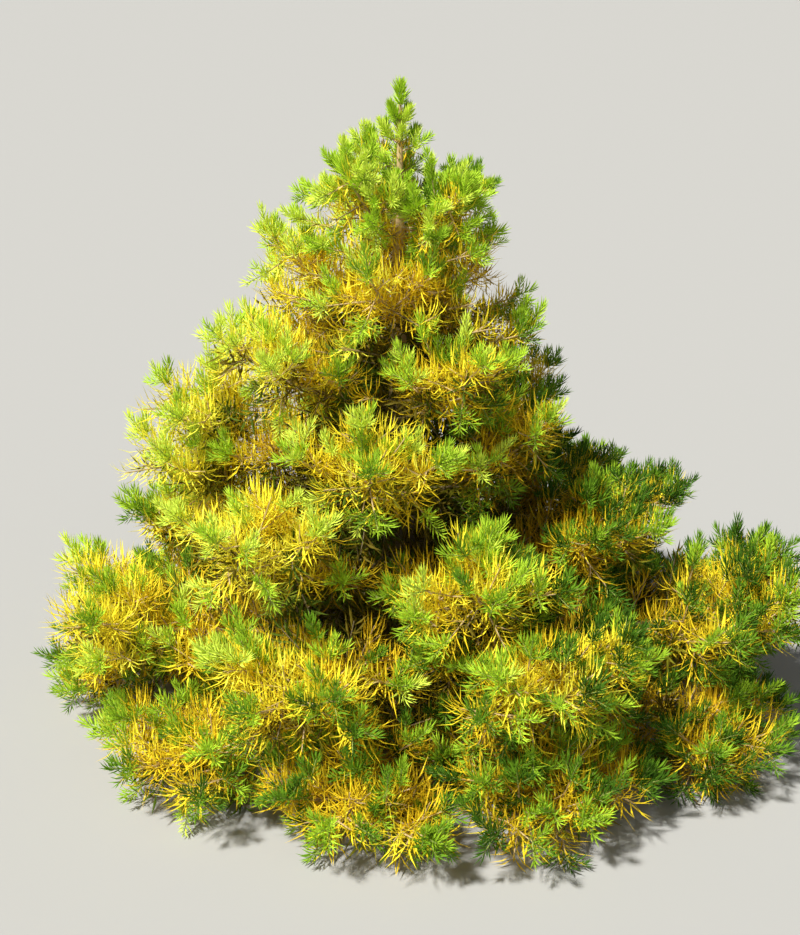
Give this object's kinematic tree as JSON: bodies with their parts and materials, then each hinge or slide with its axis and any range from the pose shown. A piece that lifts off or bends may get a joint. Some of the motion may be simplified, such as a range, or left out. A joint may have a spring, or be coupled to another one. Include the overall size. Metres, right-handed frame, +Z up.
{
  "type": "dwarf golden white fir",
  "caption": "Dense broad dwarf fir with golden needles, lime new shoots and a skirt of boughs low over the ground, for planting in a garden bed or scene.",
  "frame": {"origin": "middle of the flat cut under the trunk, at ground level", "axes": "+Z up along the trunk, +X towards the side where the low boughs reach furthest, -Y towards the front"},
  "size_m": [1.6336, 1.513, 1.2466],
  "materials": {
    "bark": "pale tan-grey bark, rough",
    "foliage": "golden-yellow needles with lime new shoots, waxy satin",
    "new_foliage": "lime-green needles of this year's leader, waxy satin"
  },
  "bodies": {
    "root": {"trunk": "bark", "bough_skirt_1": "bark", "bough_skirt_2": "bark", "bough_skirt_3": "bark", "bough_skirt_4": "bark", "bough_skirt_5": "bark", "bough_skirt_6": "bark", "bough_skirt_7": "bark", "bough_skirt_8": "bark", "bough_skirt_9": "bark", "bough_skirt_10": "bark", "bough_low_1": "bark", "bough_low_2": "bark", "bough_low_3": "bark", "bough_low_4": "bark", "bough_low_5": "bark", "bough_low_6": "bark", "bough_low_7": "bark", "foliage_skirt_1": "foliage", "foliage_skirt_2": "foliage", "foliage_skirt_3": "foliage", "foliage_skirt_4": "foliage", "foliage_skirt_5": "foliage", "foliage_skirt_6": "foliage", "foliage_skirt_7": "foliage", "foliage_skirt_8": "foliage", "foliage_skirt_9": "foliage", "foliage_skirt_10": "foliage", "foliage_low_1": "foliage", "foliage_low_2": "foliage", "foliage_low_3": "foliage", "foliage_low_4": "foliage", "foliage_low_5": "foliage", "foliage_low_6": "foliage", "foliage_low_7": "foliage", "foliage_lower_middle_1": "foliage", "foliage_lower_middle_2": "foliage", "foliage_lower_middle_3": "foliage", "foliage_lower_middle_4": "foliage", "foliage_lower_middle_5": "foliage", "foliage_lower_middle_6": "foliage", "foliage_middle_1": "foliage", "foliage_middle_2": "foliage", "foliage_middle_3": "foliage", "foliage_middle_4": "foliage", "foliage_middle_5": "foliage", "foliage_upper_middle_1": "foliage", "foliage_upper_middle_2": "foliage", "foliage_upper_middle_3": "foliage", "foliage_upper_middle_4": "foliage", "foliage_upper_middle_5": "foliage", "foliage_upper_1": "foliage", "foliage_upper_2": "foliage", "foliage_upper_3": "foliage", "foliage_upper_4": "foliage", "foliage_top_1": "foliage", "foliage_top_2": "foliage", "foliage_top_3": "foliage", "foliage_top_4": "foliage", "foliage_leader": "new_foliage"}
  },
  "joints": []
}
